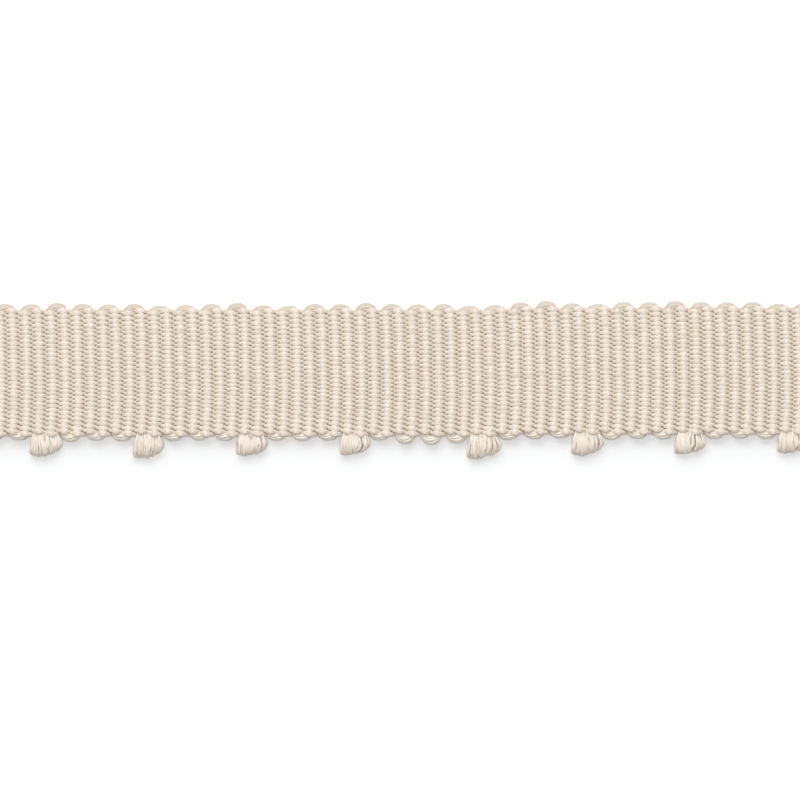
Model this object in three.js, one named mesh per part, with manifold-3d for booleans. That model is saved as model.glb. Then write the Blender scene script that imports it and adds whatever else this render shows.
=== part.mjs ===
// A cut length of cream picot-edge grosgrain trim, woven in one piece and lying flat.
// Millimetres. X runs along the ribbon, Y across it with the picots towards -Y, and Z is up.
// The origin is under the middle of the whole outline, on the surface that the ribbon lies on.

import * as THREE from 'three';
import { mergeVertices } from 'three/addons/utils/BufferGeometryUtils.js';
import Module from 'manifold-3d';

// The woven band: each rib is one pass of the soft weft, wrapped by the fine warps.
const RIB_COUNT = 70;
const RIB_PITCH = 1.5;
const WARP_ENDS = 56;
const WARP_PITCH = 0.26;
const BAND_WIDTH = WARP_ENDS * WARP_PITCH;
const MID_HEIGHT = 0.75;

// The picots hang below the band, so its middle lies a little above the middle of the outline.
const BAND_Y = 0.9535;

// The rows of points along the ribbon, from the tips of its bottom turns to the tips of its top turns: edge of
// the band that the row keeps to, share of the turn's reach past it, half height of the bare weft there. The
// rows with no reach follow the ribs' outline.
const ROWS = [
  { edge: -1, share: 1, half: 0 },
  { edge: -1, share: 0.55, half: 0.5 },
  { edge: -1, share: 0, half: 0 },
  { edge: 1, share: 0, half: 0 },
  { edge: 1, share: 0.55, half: 0.5 },
  { edge: 1, share: 1, half: 0 },
];
const MIDDLE_ROW = (ROWS.length - 1) / 2;

// The right part of the length lies slightly higher than the left part.
const DRIFT = 0.22;
const DRIFT_X = 13.5;
const DRIFT_LENGTH = 4;

// A rib's outline from its left valley, alike on both faces: distance from its middle, half thickness.
const OUTLINE = [
  [-0.75, 0.27],
  [-0.53, 0.58],
  [-0.2, 0.75],
  [0.2, 0.75],
  [0.53, 0.58],
];
const VALLEY = OUTLINE[0][1];

// Past the last rib at each end the warps are cut straight across.
const LIP_LENGTH = 0.35;
const LIP_HALF = 0.21;

// How far successive turns of the weft stand out past the band's edge, repeated along the ribbon. A turn joins
// two ribs, is blunt, and keeps a little of its reach and most of its height where it meets the next turn.
const TOP_REACH = [0.5, 0.42, 0.64, 0.62, 0.76, 0.64, 0.6, 0.64, 0.44, 0.52, 0.64, 0.76];
const BOTTOM_REACH = [0.46, 0.52, 0.44, 0.5, 0.6, 0.48, 0.54];

const TURN_BLUNTNESS = 0.42;
const TURN_FOOT = 0.1;
const TURN_FOOT_HEIGHT = 0.6;
const PLAIN_REACH = 0.16;

// Beside the fifth picot the bottom turns stand out further: first rib, reach.
const LONG_TURNS = new Map([
  [35, 0.85],
  [37, 0.95],
  [39, 0.8],
]);

// The picots, longer loops of weft left standing below the band: first rib, reach, sideways lean.
const PICOTS = [
  [7, 2.5, -0.2],
  [15, 2.74, -0.3],
  [23, 2.4, -0.25],
  [31, 2.28, -0.2],
  [41, 2.8, -0.25],
  [49, 2.62, -0.3],
  [57, 2.5, -0.3],
  [65, 2.3, -0.25],
];

const PICOT_RIBS = new Set(PICOTS.map(([first]) => first));

// The nested strands of a picot, outermost first: distance of a leg from its rib's middle to the outside,
// share of the picot's reach, sideways bulge, height of the strand's middle.
const STRANDS = [
  [0.46, 1.0, 0.36, 0.56],
  [-0.02, 0.79, 0.2, 0.68],
  [-0.48, 0.58, 0.04, 0.62],
];
const STRAND_WIDTH = 0.44;
const STRAND_HEIGHT = 1.04;
const STRAND_SIDES = 4;
const STRAND_STEPS = 9;
const STRAND_ROOT = 0.08;

const wasm = await Module();
wasm.setup();

const ribX = (i) => (i - (RIB_COUNT - 1) / 2) * RIB_PITCH;

function drift(x) {
  const t = THREE.MathUtils.smoothstep(x, DRIFT_X - DRIFT_LENGTH / 2, DRIFT_X + DRIFT_LENGTH / 2);
  return DRIFT * t;
}

// The edge of the band on the side given by its sign, 1 for the top and -1 for the bottom.
const edgeY = (x, side) => BAND_Y + drift(x) + (side * BAND_WIDTH) / 2;

// A closed geometry as a solid that can be joined to others.
function solidOf(geometry) {
  geometry.deleteAttribute('normal');
  geometry.deleteAttribute('uv');
  const merged = mergeVertices(geometry);
  return new wasm.Manifold(
    new wasm.Mesh({
      numProp: 3,
      vertProperties: new Float32Array(merged.attributes.position.array),
      triVerts: new Uint32Array(merged.index.array),
    }),
  );
}

// The turn of the weft that stands at a place along one edge: its reach, and how far the place is from the
// middle of the turn, from -1 to 1. The ribs that end in a picot or in a cut weft have no turn of their own.
function turnAt(x, side) {
  const pair = side > 0 ? 0 : 1;
  const rib = (x - ribX(0)) / RIB_PITCH + 0.5;
  const first = 2 * Math.floor((rib - pair) / 2) + pair;
  const across = THREE.MathUtils.clamp(rib - first - 1, -1, 1);
  const count = (first - pair) / 2;
  let reach = side > 0 ? TOP_REACH[count % TOP_REACH.length] : BOTTOM_REACH[count % BOTTOM_REACH.length];
  if (side < 0 && LONG_TURNS.has(first)) reach = LONG_TURNS.get(first);
  if (first < 0 || first + 1 >= RIB_COUNT || (side < 0 && PICOT_RIBS.has(first))) reach = PLAIN_REACH;
  return { reach, across };
}

// The places along the ribbon where its outline changes: distance along it, half thickness.
function stations() {
  const end = ribX(RIB_COUNT - 1) + RIB_PITCH / 2;
  const ribs = Array.from({ length: RIB_COUNT }, (_, i) => OUTLINE.map(([dx, half]) => [ribX(i) + dx, half]));
  return [[-end - LIP_LENGTH, LIP_HALF], ...ribs.flat(), [end, VALLEY], [end + LIP_LENGTH, LIP_HALF]];
}

// The band: a lens-shaped section, a point for each row on each face, extruded along the ribbon station by
// station. Then every point is moved to its place, and the outer rows become the turns of the weft.
function band() {
  const bulge = (row) => 1 - ((row - MIDDLE_ROW) / MIDDLE_ROW) ** 2;
  const upper = ROWS.map((_, row) => new THREE.Vector2(row, bulge(row)));
  const under = ROWS.map((_, row) => new THREE.Vector2(row, -bulge(row))).slice(1, -1);
  const places = stations();
  const steps = places.length - 1;
  const shape = new THREE.Shape([...under, ...upper.reverse()]);
  const geometry = new THREE.ExtrudeGeometry(shape, { depth: steps, steps, bevelEnabled: false });
  const position = geometry.attributes.position;
  for (let k = 0; k < position.count; k += 1) {
    const row = Math.round(position.getX(k));
    const { edge, share, half } = ROWS[row];
    const [x, thick] = places[Math.round(position.getZ(k))];
    const { reach, across } = turnAt(x, edge);
    const fullness = Math.max(TURN_FOOT, (1 - across * across) ** TURN_BLUNTNESS);
    const y = edgeY(x, edge) + edge * reach * share * fullness;
    const turned = half * (TURN_FOOT_HEIGHT + (1 - TURN_FOOT_HEIGHT) * fullness);
    const tall = share > 0 ? turned : thick;
    position.setXYZ(k, x, y, MID_HEIGHT + Math.sign(position.getY(k)) * tall);
  }
  return solidOf(geometry);
}

// The section of a yarn whose path runs across the ribbon: its first axis is upright on such a path.
function yarnSection(width, height, sides) {
  const points = Array.from({ length: sides }, (_, k) => {
    const a = (k / sides) * 2 * Math.PI;
    return new THREE.Vector2((height / 2) * Math.cos(a), (width / 2) * Math.sin(a));
  });
  return new THREE.Shape(points);
}

function yarn(section, path, steps) {
  return solidOf(new THREE.ExtrudeGeometry(section, { extrudePath: path, steps, bevelEnabled: false }));
}

// A picot: strands of the opened weft, nested in loops from one rib to the next.
function picot([first, reach, lean]) {
  const x0 = ribX(first);
  const x1 = ribX(first + 1);
  const middle = (x0 + x1) / 2;
  const edge = edgeY(x0, -1);
  const section = yarnSection(STRAND_WIDTH, STRAND_HEIGHT, STRAND_SIDES);
  return STRANDS.map(([out, share, bulge, height]) => {
    const half = RIB_PITCH / 2 + out;
    const depth = reach * share;
    const low = edge - depth + STRAND_WIDTH / 2;
    const points = [
      [-half, edge + STRAND_ROOT, height],
      [-half - bulge * 0.5, edge - depth * 0.25, height],
      [-half - bulge * 0.75, edge - depth * 0.55, height],
      [-half * 0.5 + lean, low, height],
      [half * 0.4 + lean, low + 0.04, height],
      [half + bulge * 0.75, edge - depth * 0.55, height],
      [half + bulge * 0.5, edge - depth * 0.25, height],
      [half, edge + STRAND_ROOT, height],
    ];
    const path = new THREE.CatmullRomCurve3(points.map(([x, y, z]) => new THREE.Vector3(middle + x, y, z)));
    return yarn(section, path, STRAND_STEPS);
  });
}

const picots = PICOTS.flatMap((row) => picot(row));
const woven = picots.reduce((joined, strand) => joined.add(strand), band()).getMesh();
const geometry = new THREE.BufferGeometry();
geometry.setAttribute('position', new THREE.BufferAttribute(woven.vertProperties, 3));
geometry.setIndex(new THREE.BufferAttribute(woven.triVerts, 1));

const ribbon = new THREE.Mesh(
  geometry,
  new THREE.MeshStandardMaterial({ color: 0xe3d6c6, roughness: 0.62, metalness: 0, flatShading: true }),
);
ribbon.name = 'picot_ribbon';

const part = new THREE.Group();
part.add(ribbon);

export default part;
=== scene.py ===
# A cut length of cream picot-edge grosgrain ribbon, woven from fine warp yarns over one thick soft weft,
# lying flat on a pale table. X runs along the ribbon, Y across it, and the picots point towards -Y.

import math

import bmesh
import bpy
import numpy as np
from mathutils import Matrix, Vector


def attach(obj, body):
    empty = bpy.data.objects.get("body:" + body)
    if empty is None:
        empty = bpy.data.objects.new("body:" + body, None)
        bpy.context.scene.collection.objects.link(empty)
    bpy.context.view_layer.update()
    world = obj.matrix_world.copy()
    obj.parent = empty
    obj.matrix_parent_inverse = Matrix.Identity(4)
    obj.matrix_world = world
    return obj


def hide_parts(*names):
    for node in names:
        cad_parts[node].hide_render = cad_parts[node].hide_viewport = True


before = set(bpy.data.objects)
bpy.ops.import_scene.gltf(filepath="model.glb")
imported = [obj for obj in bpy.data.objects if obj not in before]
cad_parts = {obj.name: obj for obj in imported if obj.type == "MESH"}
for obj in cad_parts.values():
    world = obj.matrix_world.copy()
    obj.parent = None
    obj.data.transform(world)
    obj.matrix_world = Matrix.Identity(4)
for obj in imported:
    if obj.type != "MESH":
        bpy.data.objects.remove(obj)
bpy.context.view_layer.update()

MM = 0.001
NODE = "picot_ribbon"
UV_MAP = "along_and_round"
rng = np.random.default_rng(11)

# The weave, in millimetres, as in the CAD solid.
RIBS = 70
RIB_PITCH = 1.5
ENDS = 56
END_PITCH = 0.26
BAND_WIDTH = ENDS * END_PITCH
BAND_Y = 0.9535
MID_HEIGHT = 0.75
DRIFT = 0.22
DRIFT_X = 13.5
DRIFT_LENGTH = 4.0
LIP_LENGTH = 0.35

# How far successive turns of the weft stand out past the band, repeated along the ribbon.
TOP_REACH = [0.5, 0.42, 0.64, 0.62, 0.76, 0.64, 0.6, 0.64, 0.44, 0.52, 0.64, 0.76]
BOTTOM_REACH = [0.46, 0.52, 0.44, 0.5, 0.6, 0.48, 0.54]

# Beside the fifth picot the bottom turns stand out further: first rib, reach.
LONG_TURNS = {35: 0.85, 37: 0.95, 39: 0.8}

# The picots: first rib, reach past the band, sideways lean of the loop.
PICOTS = [
    (7, 2.5, -0.2),
    (15, 2.74, -0.3),
    (23, 2.4, -0.25),
    (31, 2.28, -0.2),
    (41, 2.8, -0.25),
    (49, 2.62, -0.3),
    (57, 2.5, -0.3),
    (65, 2.3, -0.25),
]
PICOT_RIBS = {row[0] for row in PICOTS}

# A rib bows a little along the ribbon: share of the way from its top to its bottom, shift.
BOW = [(0.0, -0.19), (0.08, -0.13), (0.21, -0.02), (0.46, 0.035), (0.62, 0.1), (0.8, 0.05), (1.0, -0.11)]

# A warp yarn wraps over or under each rib: half sizes of its path, the power that rounds the path off, and
# the half thickness of the yarn on the crest and in the valley.
WRAP_HALF_WIDTH = RIB_PITCH / 2
WRAP_HALF_HEIGHT = 0.645
WRAP_ROUNDNESS = 0.74
CREST_HALF_THICK = 0.056
VALLEY_HALF_THICK = 0.24

# Places across a rib, from -1 in its left valley to 1 in its right one, with the half width of a warp there.
WRAP_PLACES = [-1, -0.83, -0.63, -0.4, -0.13, 0.13, 0.4, 0.63, 0.83]
WRAP_WIDTHS = [0.205, 0.195, 0.228, 0.33, 0.38, 0.38, 0.33, 0.228, 0.195]

# The bars that the warps make on the ribs slant a little. The lowest ends slant more, and their bars arch:
# the slant, how many ends are low ones, and what the lowest end adds in slant and arch.
SLANT = 0.03
LOW_ENDS = 9
LOW_SLANT = 0.05
LOW_ARCH = 0.07

# How unevenly a warp lies on each rib: standard deviation of its height, of its width as a share, of its
# place along the ribbon and of its place across it. The last one is that of the length of a cut end.
UNEVEN_HEIGHT = 0.007
UNEVEN_WIDTH = 0.05
UNEVEN_ALONG = 0.018
UNEVEN_ACROSS = 0.012
UNEVEN_CUT = 0.05

# The draws for a warp on a rib and for a strand of a picot are cut off at this many standard deviations.
DRAW_LIMIT = 1.6

# Past the last rib a warp leans towards the other face: share of the lip where it leans most, how far it
# leans there, and how far at its cut.
LIP_LEAN_SHARE = 0.4
LIP_LEAN = 0.1
CUT_LEAN = 0.05

# The warps lie further apart at the edges than in the middle: share of the way from the top of the band to
# its bottom, spacing against the mean.
SPREAD = [
    (0.0, 1.12),
    (0.08, 1.06),
    (0.17, 0.96),
    (0.3, 0.98),
    (0.55, 0.98),
    (0.62, 0.88),
    (0.72, 0.94),
    (0.85, 0.97),
    (0.93, 1.06),
    (1.0, 1.14),
]

# The weft's core: half width in a rib, half width in a turn, half height, and the distances inside the edge
# of the band between which it narrows.
CORE_HALF_WIDTH = 0.57
CORE_TURN_HALF_WIDTH = 0.44
CORE_HALF_HEIGHT = 0.4
CORE_NARROWS = (0.2, 0.8)

# A turn of the weft: how far inside the edge it starts, how far its legs lie below its middle, and the power
# that makes it blunt. The core's straight pass along a rib keeps clear of the turn, the weft's two loose ends
# stop just inside the edge, and under a picot the core turns with a reach of its own.
TURN_DEPTH = 0.62
TURN_DROP = 0.12
TURN_BLUNTNESS = 0.72
PASS_CLEARANCE = 0.3
PASS_END = 0.1
PICOT_CORE_REACH = 0.5

# The strands of a turn lie on a ring round its middle line: half width of the whole bundle, half sizes of the
# ring, half size of a strand. They run on into the ribs, and those along the top start at the same angle.
TOP_BUNDLE_HALF = 0.52
BOTTOM_BUNDLE_HALF = 0.38
TOP_RING = (0.37, 0.29)
TOP_STRAND_HALF = 0.2
BOTTOM_RING = (0.38, 0.3)
BOTTOM_STRAND_HALF = 0.165
STRAND_ROOT = 0.5
TOP_PHASE = 0.4

# The meshes: power that fills out a yarn's section, points round each kind of yarn, points or steps along the
# weft and from knot to knot of a picot's strand, share of the way round that the UV map leaves free on each
# side of a yarn's seam, and the distance in metres that welds the seam.
SECTION_FULLNESS = 0.82
CORE_SIDES = 12
WARP_SIDES = 8
TURN_SIDES = 8
PICOT_SIDES = 7
PASS_POINTS = 9
CORE_TURN_STEPS = 10
STRAND_TURN_STEPS = 12
PICOT_KNOT_STEPS = 3
SEAM_MARGIN = 0.01
WELD_DISTANCE = 1e-8


def rib_x(i):
    return (i - (RIBS - 1) / 2) * RIB_PITCH


def drift(x):
    t = np.clip((x - DRIFT_X) / DRIFT_LENGTH + 0.5, 0, 1)
    return DRIFT * t * t * (3 - 2 * t)


def edge_y(x, side):
    return BAND_Y + drift(x) + side * BAND_WIDTH / 2


def bow(y):
    share = (BAND_Y + BAND_WIDTH / 2 - y) / BAND_WIDTH
    return np.interp(share, [row[0] for row in BOW], [row[1] for row in BOW])


def warp_rows():
    """Where the warp ends lie across the band, from the bottom edge, and their spacing against the mean."""
    share = 1 - (np.arange(ENDS) + 0.5) / ENDS
    spacing = np.interp(share, [row[0] for row in SPREAD], [row[1] for row in SPREAD])
    spacing /= spacing.mean()
    return BAND_Y - BAND_WIDTH / 2 + (np.cumsum(spacing) - spacing / 2) * END_PITCH, spacing


def power(value, exponent):
    return np.sign(value) * np.abs(value) ** exponent


# Meshes


def yarn_mesh(name, centres, across, up, sides):
    """Closed yarns with equal numbers of points. centres, across and up are arrays of yarn, point and axis,
    in millimetres: the yarn's middle line and the half axes of its section. U runs along a yarn in
    millimetres, and V is the yarn's number plus the share of the way round it."""
    count, points = centres.shape[:2]
    bm = bmesh.new()
    bm.loops.layers.uv.new(UV_MAP)
    for _ in range(count):
        bmesh.ops.create_grid(bm, x_segments=points - 1, y_segments=sides, size=1.0, calc_uvs=True)
    mesh = bpy.data.meshes.new(name)
    bm.to_mesh(mesh)

    angle = np.linspace(0, 2 * np.pi, sides + 1)[None, :, None, None]
    wide = power(np.cos(angle), SECTION_FULLNESS)
    high = power(np.sin(angle), SECTION_FULLNESS)
    round_section = across[:, None] * wide + up[:, None] * high
    places = (centres[:, None] + round_section) * MM
    mesh.vertices.foreach_set("co", places.astype(np.float32).ravel())

    layer = mesh.uv_layers[0]
    uv = np.zeros(len(mesh.loops) * 2, np.float32)
    layer.uv.foreach_get("vector", uv)
    uv = uv.reshape(count, -1, 2)
    length = np.linalg.norm(np.diff(centres, axis=1), axis=2).sum(axis=1)
    uv[:, :, 0] *= length[:, None]
    uv[:, :, 1] = uv[:, :, 1] * (1 - 2 * SEAM_MARGIN) + SEAM_MARGIN + np.arange(count)[:, None]
    layer.uv.foreach_set("vector", uv.ravel())

    bm.clear()
    bm.from_mesh(mesh)
    bmesh.ops.remove_doubles(bm, verts=bm.verts, dist=WELD_DISTANCE)
    bmesh.ops.holes_fill(bm, edges=[e for e in bm.edges if e.is_boundary], sides=sides)
    bmesh.ops.recalc_face_normals(bm, faces=bm.faces)
    for face in bm.faces:
        face.smooth = len(face.verts) == 4
    bm.to_mesh(mesh)
    bm.free()
    return mesh


def piece(name, mesh, material):
    obj = bpy.data.objects.new(name, mesh)
    bpy.context.scene.collection.objects.link(obj)
    mesh.materials.append(material)
    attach(obj, "root")
    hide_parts(NODE)
    return obj


def sections(centres, half_width, half_thick, level):
    """The half axes of a yarn's section, at right angles to its middle line. The first axis keeps as near as
    it can to the given level direction."""
    along = np.gradient(centres, axis=1)
    along /= np.linalg.norm(along, axis=2, keepdims=True)
    up = np.cross(along, level)
    up /= np.linalg.norm(up, axis=2, keepdims=True)
    across = np.cross(up, along)
    return across * half_width[..., None], up * half_thick[..., None]


# Warp yarns


def warp_yarns(ends):
    """Middle lines and sections of the warp ends with these numbers, counted from the bottom edge."""
    lines, widths, thicks = [], [], []
    across_rib = np.array(WRAP_PLACES)
    usual_width = np.array(WRAP_WIDTHS)
    rise = np.cos(across_rib * np.pi / 2)
    wrap = rise**WRAP_ROUNDNESS
    rows, spacing = warp_rows()
    for j in ends:
        y0 = rows[j]
        low = max(0.0, 1 - j / LOW_ENDS)
        slant = SLANT + LOW_SLANT * low
        arch = LOW_ARCH * low**2
        shift = bow(y0)
        xs, ys, zs, ws, ts = [], [], [], [], []
        for i in range(RIBS):
            over = 1 if (i + j) % 2 == 0 else -1
            lift, fat, slide, nudge = np.clip(rng.normal(0, 1, 4), -DRAW_LIMIT, DRAW_LIMIT)
            x = rib_x(i) + WRAP_HALF_WIDTH * across_rib
            z = over * (WRAP_HALF_HEIGHT + UNEVEN_HEIGHT * lift) * wrap
            y = -slant * over * across_rib + arch * rise * (over > 0) + UNEVEN_ACROSS * nudge * rise
            xs.append(x + UNEVEN_ALONG * slide * rise)
            ys.append(y)
            zs.append(z)
            ws.append(usual_width * spacing[j] * (1 + UNEVEN_WIDTH * fat * rise))
            ts.append(VALLEY_HALF_THICK + (CREST_HALF_THICK - VALLEY_HALF_THICK) * rise)
        end_x = rib_x(RIBS - 1) + RIB_PITCH / 2
        cut = LIP_LENGTH + UNEVEN_CUT * rng.normal(0, 1, 2)
        first = 1 if j % 2 == 0 else -1
        last = 1 if (RIBS - 1 + j) % 2 == 0 else -1
        before_x = [-end_x - cut[0], -end_x - cut[0] * LIP_LEAN_SHARE]
        after_x = [end_x, end_x + cut[1] * LIP_LEAN_SHARE, end_x + cut[1]]
        before_z = [-CUT_LEAN * first, -LIP_LEAN * first]
        after_z = [0, -LIP_LEAN * last, -CUT_LEAN * last]
        x = np.concatenate([before_x, *xs, after_x]) + shift
        y_wave = np.concatenate([[ys[0][0]] * 2, *ys, [ys[-1][0] * -1] * 3])
        z = np.concatenate([before_z, *zs, after_z]) + MID_HEIGHT
        lines.append(np.stack([x, y0 + y_wave + drift(x), z], axis=1))
        widths.append(np.concatenate([[usual_width[0]] * 2, *ws, [usual_width[0]] * 3]))
        thicks.append(np.concatenate([[VALLEY_HALF_THICK] * 2, *ts, [VALLEY_HALF_THICK] * 3]))
    centres = np.array(lines)
    across, up = sections(centres, np.array(widths), np.array(thicks), (0.0, 1.0, 0.0))
    return centres, across, up


# The weft


def turn_reach(first, side):
    """How far past the edge the turn stands that leaves the rib with this number."""
    table, pair = (TOP_REACH, 0) if side > 0 else (BOTTOM_REACH, 1)
    if side < 0 and first in LONG_TURNS:
        return LONG_TURNS[first]
    return table[((first - pair) // 2) % len(table)]


def turn_line(first, side, reach, steps):
    """The middle line of the weft as it leaves one rib, turns past the edge and enters the next rib."""
    edge = edge_y(rib_x(first), side)
    middle = rib_x(first) + RIB_PITCH / 2 + bow(edge)
    around = np.linspace(0, np.pi, steps + 1)
    x = middle - RIB_PITCH / 2 * power(np.cos(around), TURN_BLUNTNESS)
    root = edge - side * TURN_DEPTH
    bundle_half = TOP_BUNDLE_HALF if side > 0 else BOTTOM_BUNDLE_HALF
    y = root + side * (TURN_DEPTH + reach - bundle_half) * power(np.sin(around), TURN_BLUNTNESS)
    z = MID_HEIGHT - TURN_DROP * (1 - np.sin(around))
    return np.stack([x, y, z], axis=1)


def weft_line():
    """The whole weft: up one rib and down the next, turning at each edge."""
    points = []
    for i in range(RIBS):
        side = 1 if i % 2 == 0 else -1
        # The rib is passed from the other edge towards this one.
        start_gap = TURN_DEPTH + PASS_CLEARANCE if i else PASS_END
        stop_gap = TURN_DEPTH + PASS_CLEARANCE if i < RIBS - 1 else PASS_END
        start = edge_y(rib_x(i), -side) + side * start_gap
        stop = edge_y(rib_x(i), side) - side * stop_gap
        y = np.linspace(start, stop, PASS_POINTS)
        points.append(np.stack([rib_x(i) + bow(y), y, np.full_like(y, MID_HEIGHT)], axis=1))
        if i < RIBS - 1:
            reach = PICOT_CORE_REACH if side < 0 and i in PICOT_RIBS else turn_reach(i, side)
            points.append(turn_line(i, side, reach, CORE_TURN_STEPS))
    return np.concatenate(points)[None]


def bundle(line, strands, twist, phase, ring, depth):
    """Strands laid round a middle line of the weft, each running on into the ribs at both ends."""
    side = np.sign(line[len(line) // 2, 1] - line[0, 1])
    head = line[0] - side * np.array([[0, depth, 0], [0, depth * 0.5, 0]])
    tail = line[-1] - side * np.array([[0, depth * 0.5, 0], [0, depth, 0]])
    line = np.concatenate([head, line, tail])
    along = np.gradient(line, axis=0)
    along /= np.linalg.norm(along, axis=1, keepdims=True)
    sideways = np.cross(along, (0.0, 0.0, 1.0))
    share = np.linspace(-0.5, 0.5, len(line))
    result = []
    for k in range(strands):
        angle = 2 * np.pi * k / strands + phase + twist * share
        out = ring[0] * np.cos(angle)
        high = ring[1] * np.sin(angle)
        result.append(line + sideways * out[:, None] + np.array([0, 0, 1.0]) * high[:, None])
    return np.array(result)


def edge_strands(side, strands, ring, half_size, twist, jitter):
    """The strands of every turn along one edge, picots left out. The twist is in radians, and with a jitter
    it varies by about that share from turn to turn."""
    lines = []
    for first in range(0 if side > 0 else 1, RIBS - 1, 2):
        if side < 0 and first in PICOT_RIBS:
            continue
        line = turn_line(first, side, turn_reach(first, side), STRAND_TURN_STEPS)
        phase = rng.uniform(0, 2 * np.pi) if jitter else TOP_PHASE
        own_twist = twist * (1 + jitter * rng.normal())
        lines.append(bundle(line, strands, own_twist, phase, ring, STRAND_ROOT))
    centres = np.concatenate(lines)
    half = np.full(centres.shape[:2], half_size)
    across, up = sections(centres, half, half, (0.0, 0.0, 1.0))
    return centres, across, up


# A picot's strands are gathered where a leg leaves its rib, fan out, and curl down and under at their ends to
# come back in the other leg: number and half size of the strands, half widths of a leg where it is gathered
# and where it is fanned out, sideways shift of each fanned leg, how far a strand runs on into its rib, and
# how far its middle line keeps inside the picot's reach.
PICOT_STRANDS = 20
PICOT_STRAND_HALF = 0.145
PICOT_LEFT_GATHERED = 0.48
PICOT_RIGHT_GATHERED = 0.6
PICOT_LEFT_FANNED = 0.86
PICOT_RIGHT_FANNED = 0.96
PICOT_LEFT_SHIFT = -0.05
PICOT_RIGHT_SHIFT = 0.12
PICOT_ROOT = 0.9
PICOT_TIP_INSET = 0.04


def smooth_curve(knots, steps):
    """A curve through the knots, an array of strand, knot and axis."""
    before = 2 * knots[:, :1] - knots[:, 1:2]
    after = 2 * knots[:, -1:] - knots[:, -2:-1]
    knots = np.concatenate([before, knots, after], axis=1)
    t = np.linspace(0, 1, steps, endpoint=False)[None, None, :, None]
    a, b, c, d = (knots[:, k : knots.shape[1] - 3 + k, None] for k in range(4))
    curve = 0.5 * (2 * b + (c - a) * t + (2 * a - 5 * b + 4 * c - d) * t**2 + (3 * b - a - 3 * c + d) * t**3)
    curve = curve.reshape(knots.shape[0], -1, 3)
    return np.concatenate([curve, knots[:, -2:-1]], axis=1)


def picot_strands():
    """The opened weft of every picot. Each knot of a strand is its place along the ribbon, its place across
    it and its height."""
    knots, halves = [], []
    for first, reach, lean in PICOTS:
        edge = edge_y(rib_x(first), -1)
        left = rib_x(first) + bow(edge)
        right = left + RIB_PITCH
        for k in range(PICOT_STRANDS):
            shake = np.clip(rng.normal(0, 1, 8), -DRAW_LIMIT, DRAW_LIMIT)
            # Place in the left leg from -1 to 1, and in the right leg, where the order is turned over.
            a = 2 * (k + 0.5) / PICOT_STRANDS - 1 + 0.05 * shake[0]
            b = -a + 0.12 * shake[1]
            # The strands between the legs all lie on top, so that the legs close up.
            layer = k % 2 if a < 0.55 else 0
            high = 1.12 - 0.4 * layer - 0.16 * min(a, 0.3) ** 2 + 0.07 * shake[2]
            low = 0.3 + 0.03 * shake[3]
            depth = reach - PICOT_TIP_INSET
            down = depth * (0.97 - 0.06 * (a + 0.1) ** 2 + 0.04 * shake[4] - 0.06 * layer)
            back = depth * (0.9 - 0.2 * max(b, -0.1) ** 2 + 0.04 * shake[5] - 0.06 * layer)
            sweep = 0.12 + 0.2 * (a + 1) / 2
            tip = 0.5 * lean
            root_z = MID_HEIGHT + 0.4 * (high - MID_HEIGHT)
            tied_left = left + PICOT_LEFT_GATHERED * a
            tied_right = right + PICOT_RIGHT_GATHERED * b
            fan_left = left + PICOT_LEFT_FANNED * a + PICOT_LEFT_SHIFT
            fan_right = right + PICOT_RIGHT_FANNED * b + PICOT_RIGHT_SHIFT
            knots.append(
                [
                    [tied_left, edge + PICOT_ROOT, root_z],
                    [tied_left, edge + 0.1, high - 0.05],
                    [0.35 * tied_left + 0.65 * fan_left, edge - 0.3 * down, high],
                    [fan_left + 0.08 + 0.07 * shake[6], edge - 0.68 * down, high - 0.03],
                    [fan_left + sweep + tip, edge - 0.93 * down, high - 0.3],
                    [0.4 * left + 0.6 * fan_left + 0.45 + tip, edge - 0.97 * down, low],
                    [0.5 * (left + right) + 0.2 + tip, edge - 0.86 * down, low - 0.03],
                    [0.4 * right + 0.6 * fan_right - 0.3 + tip, edge - 0.94 * back, low],
                    [fan_right - 0.14 - 0.22 * max(-b, 0) + 0.6 * tip, edge - 0.88 * back, high - 0.36],
                    [fan_right + 0.03 + 0.07 * shake[7], edge - 0.6 * back, high - 0.02],
                    [0.35 * tied_right + 0.65 * fan_right, edge - 0.27 * back, high],
                    [tied_right, edge + 0.1, high - 0.05],
                    [tied_right, edge + PICOT_ROOT, root_z],
                ]
            )
            halves.append(PICOT_STRAND_HALF * rng.uniform(0.78, 1.15))
    centres = smooth_curve(np.array(knots), PICOT_KNOT_STEPS)
    half = np.repeat(np.array(halves)[:, None], centres.shape[1], axis=1)
    across, up = sections(centres, half, half, (0.0, 0.0, 1.0))
    return centres, across, up


# Materials

# What all the yarns share: how strongly they shine, and the roughness and colour of their sheen.
SPECULAR = 0.6
SHEEN_ROUGHNESS = 0.4
SHEEN_TINT = (1.0, 0.96, 0.9)

# The fibres are noise stretched along the yarn: how fast it changes along and round it, its scale and detail.
FIBRES_ALONG = 2.6
FIBRES_ROUND = 11.0
FIBRES_SCALE = 1.6
FIBRES_DETAIL = 3.0

# The tone of short lengths of a yarn: how fast it changes along the yarn and from one yarn to the next.
LENGTHS_ALONG = 0.42
LENGTHS_APART = 3.7

# The mottle: weight of the whole yarn's tone, of its short lengths and of its fibres, and their usual sum.
YARN_WEIGHT = 0.06
LENGTH_WEIGHT = 0.18
FIBRE_WEIGHT = 0.6
USUAL_MOTTLE = 0.42

# Distances from the middle of the ribbon's thickness between which the painted light and shade change the
# tone from valley to crest.
VALLEY_LEVEL = 0.1
CREST_LEVEL = 0.62

# The relief: weight of the fibres against the twist, strength, and depth in millimetres.
FIBRE_RELIEF = 1.8
RELIEF_STRENGTH = 0.55
RELIEF_DEPTH = 0.055

WHITE = (1.0, 1.0, 1.0)


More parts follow.
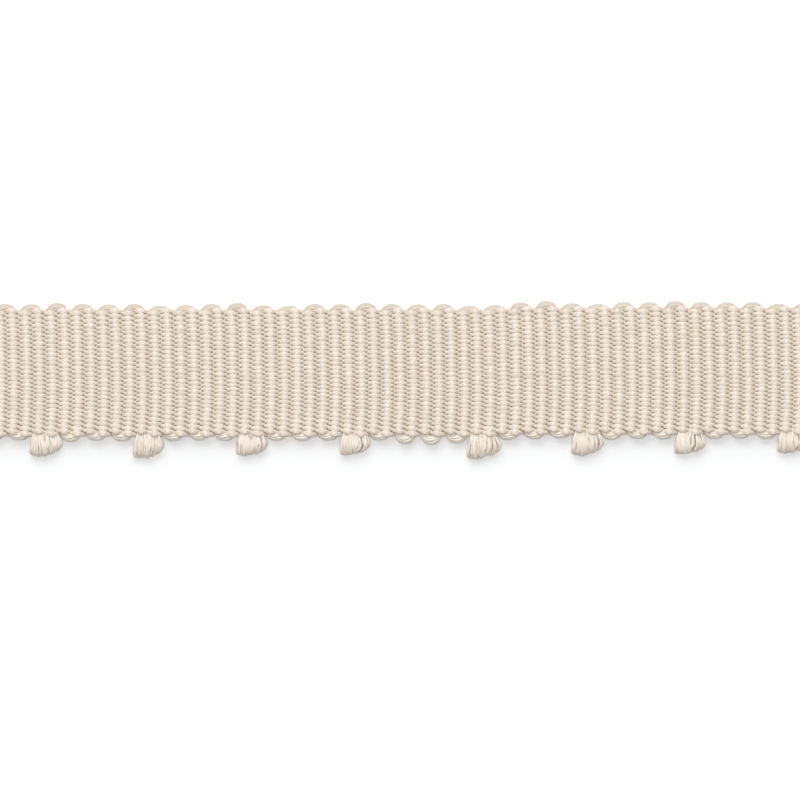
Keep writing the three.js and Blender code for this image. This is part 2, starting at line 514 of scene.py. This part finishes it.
def yarn_material(
    name,
    light,
    dark,
    plies,
    twist_pitch,
    twist_depth,
    roughness,
    sheen,
    shade_tones=(0.12, 0.84),
    mottle=1.0,
    shade_tint=WHITE,
):
    """Soft yarn: a twist that follows the yarn, fine fibres along it, and a mottled tone that varies from
    yarn to yarn. Painted light and shade: the pair of tone shares gives how much of the light colour the yarn
    takes down between the ribs and up on them, and the last colour tints it down between the ribs; both
    follow depth, not the yarn's colour."""
    material = bpy.data.materials.new(name)
    material.use_nodes = True
    nodes, links = material.node_tree.nodes, material.node_tree.links
    shader = nodes["Principled BSDF"]
    shader.inputs["Roughness"].default_value = roughness
    shader.inputs["Specular IOR Level"].default_value = SPECULAR
    shader.inputs["Sheen Weight"].default_value = sheen
    shader.inputs["Sheen Roughness"].default_value = SHEEN_ROUGHNESS
    shader.inputs["Sheen Tint"].default_value = (*SHEEN_TINT, 1.0)

    def add(kind, **values):
        node = nodes.new(kind)
        for key, value in values.items():
            setattr(node, key, value)
        return node

    def math_node(operation, a, b=None):
        node = add("ShaderNodeMath", operation=operation)
        for socket, value in zip(node.inputs, (a, b)):
            if value is None:
                continue
            if isinstance(value, (int, float)):
                socket.default_value = value
            else:
                links.new(value, socket)
        return node.outputs[0]

    uv = add("ShaderNodeUVMap", uv_map=UV_MAP)
    split = add("ShaderNodeSeparateXYZ")
    links.new(uv.outputs["UV"], split.inputs[0])
    along, turns = split.outputs[0], split.outputs[1]
    number = math_node("FLOOR", turns)
    around = math_node("FRACT", turns)

    # Plies: grooves that climb round the yarn once in each pitch.
    climb = math_node("ADD", math_node("DIVIDE", along, twist_pitch), around)
    ply = math_node("ABSOLUTE", math_node("SINE", math_node("MULTIPLY", climb, math.pi * plies)))

    # Fibres: noise stretched along the yarn.
    place = add("ShaderNodeCombineXYZ")
    links.new(math_node("MULTIPLY", along, FIBRES_ALONG), place.inputs[0])
    links.new(math_node("MULTIPLY", turns, FIBRES_ROUND), place.inputs[1])
    fibres = add("ShaderNodeTexNoise")
    fibres.inputs["Scale"].default_value = FIBRES_SCALE
    fibres.inputs["Detail"].default_value = FIBRES_DETAIL
    links.new(place.outputs[0], fibres.inputs["Vector"])

    # Tone of a whole yarn, and of short lengths of it.
    yarn_tone = add("ShaderNodeTexWhiteNoise", noise_dimensions="1D")
    links.new(number, yarn_tone.inputs["W"])
    length_place = add("ShaderNodeCombineXYZ")
    links.new(math_node("MULTIPLY", along, LENGTHS_ALONG), length_place.inputs[0])
    links.new(math_node("MULTIPLY", number, LENGTHS_APART), length_place.inputs[1])
    length_tone = add("ShaderNodeTexNoise")
    length_tone.inputs["Scale"].default_value = 1.0
    length_tone.inputs["Detail"].default_value = 1.0
    links.new(length_place.outputs[0], length_tone.inputs["Vector"])

    # Depth between the ribs, alike on both faces of the ribbon, which the painted light and shade follow.
    where = add("ShaderNodeTexCoord")
    height = add("ShaderNodeSeparateXYZ")
    links.new(where.outputs["Object"], height.inputs[0])
    from_middle = math_node("ABSOLUTE", math_node("SUBTRACT", height.outputs[2], MID_HEIGHT * MM))
    raised = add("ShaderNodeMapRange")
    raised.inputs["From Min"].default_value = VALLEY_LEVEL * MM
    raised.inputs["From Max"].default_value = CREST_LEVEL * MM
    links.new(from_middle, raised.inputs["Value"])

    variation = math_node("MULTIPLY", yarn_tone.outputs["Value"], YARN_WEIGHT)
    variation = math_node("ADD", variation, math_node("MULTIPLY", length_tone.outputs["Fac"], LENGTH_WEIGHT))
    variation = math_node("ADD", variation, math_node("MULTIPLY", fibres.outputs["Fac"], FIBRE_WEIGHT))
    variation = math_node("MULTIPLY", math_node("SUBTRACT", variation, USUAL_MOTTLE), mottle)
    # Painted light and shade: the tone goes from its valley share to its crest share with depth.
    tone = math_node("ADD", math_node("MULTIPLY", raised.outputs[0], shade_tones[1] - shade_tones[0]), shade_tones[0])
    tone = math_node("ADD", tone, variation)
    mix = add("ShaderNodeMix", data_type="RGBA")
    mix.clamp_factor = True
    links.new(tone, mix.inputs["Factor"])
    mix.inputs["A"].default_value = (*dark, 1.0)
    mix.inputs["B"].default_value = (*light, 1.0)
    # Painted shade: the tint colours the yarn down between the ribs.
    tint = add("ShaderNodeMix", data_type="RGBA")
    links.new(raised.outputs[0], tint.inputs["Factor"])
    tint.inputs["A"].default_value = (*shade_tint, 1.0)
    tint.inputs["B"].default_value = (*WHITE, 1.0)
    tinted = add("ShaderNodeMix", data_type="RGBA", blend_type="MULTIPLY")
    tinted.inputs["Factor"].default_value = 1.0
    links.new(mix.outputs["Result"], tinted.inputs["A"])
    links.new(tint.outputs["Result"], tinted.inputs["B"])
    links.new(tinted.outputs["Result"], shader.inputs["Base Color"])

    twist_height = math_node("MULTIPLY", ply, twist_depth)
    fibre_height = math_node("MULTIPLY", fibres.outputs["Fac"], FIBRE_RELIEF)
    bump_height = math_node("ADD", twist_height, fibre_height)
    bump = add("ShaderNodeBump")
    bump.inputs["Strength"].default_value = RELIEF_STRENGTH
    bump.inputs["Distance"].default_value = RELIEF_DEPTH * MM
    links.new(bump_height, bump.inputs["Height"])
    links.new(bump.outputs["Normal"], shader.inputs["Normal"])
    return material


# The warp is painted lighter and warmer down between the ribs than on the crests: painted light and shade
# there, not the yarn's own colour.
warp_colour_and_shade = yarn_material(
    "warp yarn, cream rayon",
    light=(0.823, 0.753, 0.671),
    dark=(0.624, 0.519, 0.421),
    plies=4,
    twist_pitch=1.8,
    twist_depth=0.5,
    roughness=0.36,
    sheen=0.25,
    shade_tones=(0.82, 0.52),
    mottle=2.8,
    shade_tint=(1.09, 0.99, 0.885),
)
# The top turns take the weft's yarn in darker colours: painted shade.
turn_shaded_copy = yarn_material(
    "weft turns, cream in shade",
    light=(0.7, 0.62, 0.53),
    dark=(0.5, 0.41, 0.32),
    plies=2,
    twist_pitch=2.4,
    twist_depth=0.8,
    roughness=0.55,
    sheen=0.3,
)
# The weft strands keep the default tone shares, so they are painted darker towards the middle of the ribbon's
# thickness: painted shade.
weft_colour_and_shade = yarn_material(
    "weft strands, soft cream",
    light=(0.9, 0.82, 0.725),
    dark=(0.72, 0.62, 0.51),
    plies=2,
    twist_pitch=2.4,
    twist_depth=1.0,
    roughness=0.4,
    sheen=0.3,
)
# The core takes the weft's yarn in darker colours, as it shows only in the holes between the ribs and under
# the picots: painted shade.
core_shaded_copy = yarn_material(
    "weft core, shaded cream",
    light=(0.69, 0.575, 0.46),
    dark=(0.62, 0.5, 0.385),
    plies=6,
    twist_pitch=4.0,
    twist_depth=0.8,
    roughness=0.6,
    sheen=0.2,
)

# Pieces

core_line = weft_line()
inside = BAND_WIDTH / 2 - np.abs(core_line[..., 1] - BAND_Y - drift(core_line[..., 0]))
core_width = np.interp(inside, CORE_NARROWS, [CORE_TURN_HALF_WIDTH, CORE_HALF_WIDTH])
core_height = np.full(core_line.shape[:2], CORE_HALF_HEIGHT)
# The first axis of a section stands upright here, so it takes the core's height.
core_across, core_up = sections(core_line, core_height, core_width, (0.0, 0.0, 1.0))
core_mesh = yarn_mesh("weft_core", core_line, core_across, core_up, CORE_SIDES)
weft_core = piece("weft_core", core_mesh, core_shaded_copy)

# The warp ends come in a few pieces, to keep each one small.
WARP_PIECES = 4
for k in range(WARP_PIECES):
    name = f"warps_{k + 1}"
    ends = range(k * ENDS // WARP_PIECES, (k + 1) * ENDS // WARP_PIECES)
    piece(name, yarn_mesh(name, *warp_yarns(ends), WARP_SIDES), warp_colour_and_shade)

top_strands = edge_strands(1, 9, TOP_RING, TOP_STRAND_HALF, twist=0.5, jitter=0.0)
top_turns = piece("turns_top", yarn_mesh("turns_top", *top_strands, TURN_SIDES), turn_shaded_copy)
bottom_strands = edge_strands(-1, 8, BOTTOM_RING, BOTTOM_STRAND_HALF, twist=2.0, jitter=0.2)
bottom_turns = piece("turns_bottom", yarn_mesh("turns_bottom", *bottom_strands, TURN_SIDES), weft_colour_and_shade)
picots = piece("picots", yarn_mesh("picots", *picot_strands(), PICOT_SIDES), weft_colour_and_shade)

# The table, in metres, just below the ribbon

TABLE_HALF_SIZE = 4.0
TABLE_DROP = 0.00002
bm = bmesh.new()
bmesh.ops.create_grid(bm, x_segments=1, y_segments=1, size=TABLE_HALF_SIZE)
table_mesh = bpy.data.meshes.new("table")
bm.to_mesh(table_mesh)
bm.free()
table_mesh.transform(Matrix.Translation((0, 0, -TABLE_DROP)))
table = bpy.data.objects.new("table", table_mesh)
bpy.context.scene.collection.objects.link(table)
pale = bpy.data.materials.new("pale table")
pale.use_nodes = True
pale_shader = pale.node_tree.nodes["Principled BSDF"]
pale_shader.inputs["Base Color"].default_value = (0.9, 0.905, 0.91, 1.0)
pale_shader.inputs["Roughness"].default_value = 0.8
pale_shader.inputs["Specular IOR Level"].default_value = 0.1
table_mesh.materials.append(pale)

# Light: a broad soft light on the side of the scalloped edge, a smaller one overhead, a bright room all round


def area_light(name, place, size, power_w):
    """A square light at this place, aimed at the origin, in metres and watts."""
    light = bpy.data.lights.new(name, "AREA")
    light.shape = "SQUARE"
    light.size = size
    light.energy = power_w
    obj = bpy.data.objects.new(name, light)
    obj.location = place
    direction = Vector((0, 0, 0)) - Vector(place)
    obj.rotation_euler = direction.to_track_quat("-Z", "Y").to_euler()
    bpy.context.scene.collection.objects.link(obj)


area_light("key light", (-0.14, 0.8, 0.58), size=0.95, power_w=8.6)
area_light("top light", (0, 0.05, 1.3), size=0.3, power_w=8.7)

world = bpy.data.worlds.new("bright room")
bpy.context.scene.world = world
world.use_nodes = True
world.node_tree.nodes["Background"].inputs["Color"].default_value = (0.98, 0.99, 1.0, 1.0)
world.node_tree.nodes["Background"].inputs["Strength"].default_value = 0.26

# The camera looks straight down from far above, with the ribbon a little above the middle of the picture. The
# frame width is what the picture shows at the frame level, a millimetre above the table.

CAMERA_X = 0.75
CAMERA_Y = -2.25
CAMERA_HEIGHT = 900.0
FRAME_WIDTH = 93.13
FRAME_LEVEL = 1.0
SENSOR_WIDTH = 36.0
camera_data = bpy.data.cameras.new("camera")
camera_data.sensor_width = SENSOR_WIDTH
camera_data.lens = SENSOR_WIDTH * (CAMERA_HEIGHT - FRAME_LEVEL) / FRAME_WIDTH
camera_data.clip_start = 0.01
camera_data.clip_end = 20.0
camera = bpy.data.objects.new("camera", camera_data)
camera.location = (CAMERA_X * MM, CAMERA_Y * MM, CAMERA_HEIGHT * MM)
bpy.context.scene.collection.objects.link(camera)
bpy.context.scene.camera = camera

bpy.context.scene.view_settings.view_transform = "Standard"

bpy.context.view_layer.update()
